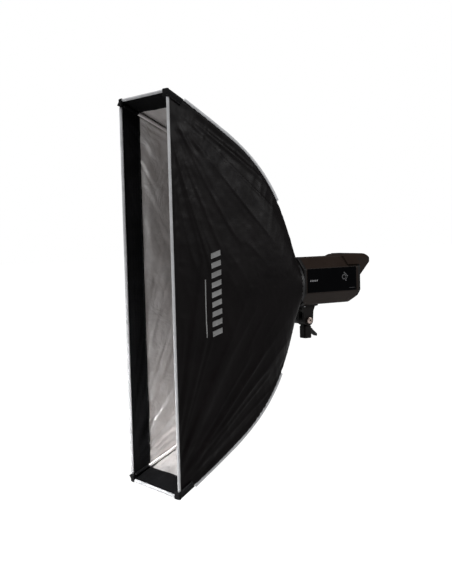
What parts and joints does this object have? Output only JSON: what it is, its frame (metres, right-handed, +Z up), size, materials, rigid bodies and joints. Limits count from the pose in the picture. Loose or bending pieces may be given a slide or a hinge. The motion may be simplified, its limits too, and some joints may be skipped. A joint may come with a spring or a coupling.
{
  "type": "studio softbox",
  "caption": "Strip softbox of black fabric with silver lining on four rods and a rotating speedring, locked to a compact flash head on a tilting stand bracket.",
  "frame": {"origin": "centre of the stand socket's mouth, where the light stand's stud enters from below", "axes": "+Z up, along the socket's axis; the softbox opens towards -Y and the flash head's rear panel faces +Y; +X is the side with the tilt bolt's cap"},
  "size_m": [0.2562, 0.6905, 1.009],
  "materials": {
    "outer_fabric": "slightly sheeny black nylon",
    "silver_lining": "crinkled silver coating",
    "lip_fabric": "matt black",
    "binding_tape": "woven light grey tape",
    "webbing": "woven black",
    "rod_steel": "dark spring steel",
    "ring_metal": "black anodised",
    "bayonet_metal": "satin",
    "screw_steel": "zinc plated",
    "knob_plastic": "satin",
    "casing_plastic": "fine grain satin",
    "frame_plastic": "satin",
    "panel_gloss": "polished black",
    "reflector_metal": "polished",
    "flash_glass": "clear",
    "dome_glass": "frosted",
    "lamp_glass": "clear",
    "holder_ceramic": "unglazed ceramic",
    "capacitor_can": "plastic sleeve",
    "circuit_board": "solder resist",
    "fan_plastic": "matt",
    "display_glass": "smoked",
    "key_plastic": "satin",
    "inlet_plastic": "matt",
    "rocker_plastic": "gloss",
    "bracket_metal": "black powder coat",
    "bolt_brass": "worn copper coloured plating",
    "disc_fibre": "pressed fibre"
  },
  "bodies": {
    "stand_adapter": {"stand_socket": "bracket_metal"},
    "flash_head": {"ring_insert": "bayonet_metal", "mount_ring": "frame_plastic", "upper_casing": "casing_plastic", "lower_casing": "casing_plastic", "front_bezel": "frame_plastic", "rear_frame": "frame_plastic", "rear_panel": "frame_plastic", "side_panels": "panel_gloss", "carry_handle": "frame_plastic", "reflector_plate": "reflector_metal", "flash_tube": "flash_glass", "lamp_holder": "holder_ceramic", "modelling_lamp": "lamp_glass", "glass_dome": "dome_glass", "capacitors": "capacitor_can", "power_board": "circuit_board", "control_board": "circuit_board", "fan_frame": "fan_plastic", "display_window": "display_glass", "mains_inlet": "inlet_plastic", "sync_socket": "screw_steel", "tilt_yoke": "bracket_metal", "yoke_screws": "screw_steel", "tilt_bolt": "bolt_brass", "friction_discs": "disc_fibre"},
    "stand_lock": {"stand_lock_lever": "knob_plastic"},
    "tilt_clamp": {"tilt_lever": "knob_plastic"},
    "umbrella_clamp": {"umbrella_screw": "knob_plastic"},
    "softbox": {"speedring_body": "ring_metal", "speedring_retainer": "ring_metal", "speedring_screws": "screw_steel", "rod_upper_right": "rod_steel", "rod_upper_left": "rod_steel", "rod_lower_right": "rod_steel", "rod_lower_left": "rod_steel", "rod_sockets": "ring_metal", "shell_panel_right": "outer_fabric", "shell_panel_left": "outer_fabric", "shell_panel_top": "outer_fabric", "shell_panel_bottom": "outer_fabric", "lining_sides": "silver_lining", "lining_ends": "silver_lining", "front_lip": "lip_fabric", "front_binding": "binding_tape", "seam_binding": "binding_tape", "corner_pockets": "webbing", "rear_collar": "outer_fabric"},
    "ring_knob_a": {"ring_lock_knob_a": "knob_plastic"},
    "ring_knob_b": {"ring_lock_knob_b": "knob_plastic"},
    "bayonet_release": {"release_slider": "key_plastic"},
    "dial": {"control_dial": "knob_plastic"},
    "key_1": {"button_1": "key_plastic"},
    "key_2": {"button_2": "key_plastic"},
    "key_3": {"button_3": "key_plastic"},
    "key_4": {"button_4": "key_plastic"},
    "power_switch": {"mains_rocker": "rocker_plastic"},
    "fuse_holder_cap": {"fuse_cap": "inlet_plastic"},
    "fan": {"fan_rotor": "fan_plastic"}
  },
  "joints": [
    {"name": "head_tilt", "type": "hinge", "parent": "stand_adapter", "child": "flash_head", "pos_m": [0, 0, 0.05], "axis": [1, 0, 0], "range_deg": [-70, 35]},
    {"name": "stand_lock_turn", "type": "hinge", "parent": "stand_adapter", "child": "stand_lock", "pos_m": [0, 0.0125, 0.019], "axis": [0, 1, 0], "range_deg": [0, 300]},
    {"name": "tilt_lever_swing", "type": "hinge", "parent": "flash_head", "child": "tilt_clamp", "pos_m": [-0.03, 0, 0.05], "axis": [1, 0, 0], "range_deg": [-75, 15]},
    {"name": "umbrella_screw_turn", "type": "hinge", "parent": "flash_head", "child": "umbrella_clamp", "pos_m": [-0.026, 0.004, 0.0835], "axis": [1, 0, 0], "range_deg": [0, 360]},
    {"name": "softbox_rotation", "type": "hinge", "parent": "flash_head", "child": "softbox", "pos_m": [0, -0.066, 0.15], "axis": [0, 1, 0], "continuous": true},
    {"name": "ring_knob_a_turn", "type": "hinge", "parent": "softbox", "child": "ring_knob_a", "pos_m": [0.06553, -0.06, 0.10411], "axis": [0.8192, 0, -0.5736], "range_deg": [0, 360]},
    {"name": "ring_knob_b_turn", "type": "hinge", "parent": "softbox", "child": "ring_knob_b", "pos_m": [-0.06553, -0.06, 0.19589], "axis": [-0.8192, 0, 0.5736], "range_deg": [0, 360]},
    {"name": "release_slide", "type": "slide", "parent": "flash_head", "child": "bayonet_release", "axis": [0, 1, 0], "range_m": [0, 0.004], "stiffness_N_per_m": 300},
    {"name": "dial_turn", "type": "hinge", "parent": "flash_head", "child": "dial", "pos_m": [0, 0.15, 0.149], "axis": [0, 1, 0], "continuous": true},
    {"name": "key_1_press", "type": "slide", "parent": "flash_head", "child": "key_1", "axis": [0, -1, 0], "range_m": [0, 0.0012], "stiffness_N_per_m": 400},
    {"name": "key_2_press", "type": "slide", "parent": "flash_head", "child": "key_2", "axis": [0, -1, 0], "range_m": [0, 0.0012], "stiffness_N_per_m": 400},
    {"name": "key_3_press", "type": "slide", "parent": "flash_head", "child": "key_3", "axis": [0, -1, 0], "range_m": [0, 0.0012], "stiffness_N_per_m": 400},
    {"name": "key_4_press", "type": "slide", "parent": "flash_head", "child": "key_4", "axis": [0, -1, 0], "range_m": [0, 0.0012], "stiffness_N_per_m": 400},
    {"name": "power_rocker", "type": "hinge", "parent": "flash_head", "child": "power_switch", "pos_m": [0.01, 0.143, 0.129], "axis": [1, 0, 0], "range_deg": [0, 16]},
    {"name": "fuse_cap_turn", "type": "hinge", "parent": "flash_head", "child": "fuse_holder_cap", "pos_m": [0.036, 0.15, 0.134], "axis": [0, 1, 0], "range_deg": [0, 90]},
    {"name": "fan_spin", "type": "hinge", "parent": "flash_head", "child": "fan", "pos_m": [0, 0.108, 0.185], "axis": [0, 1, 0], "continuous": true}
  ]
}
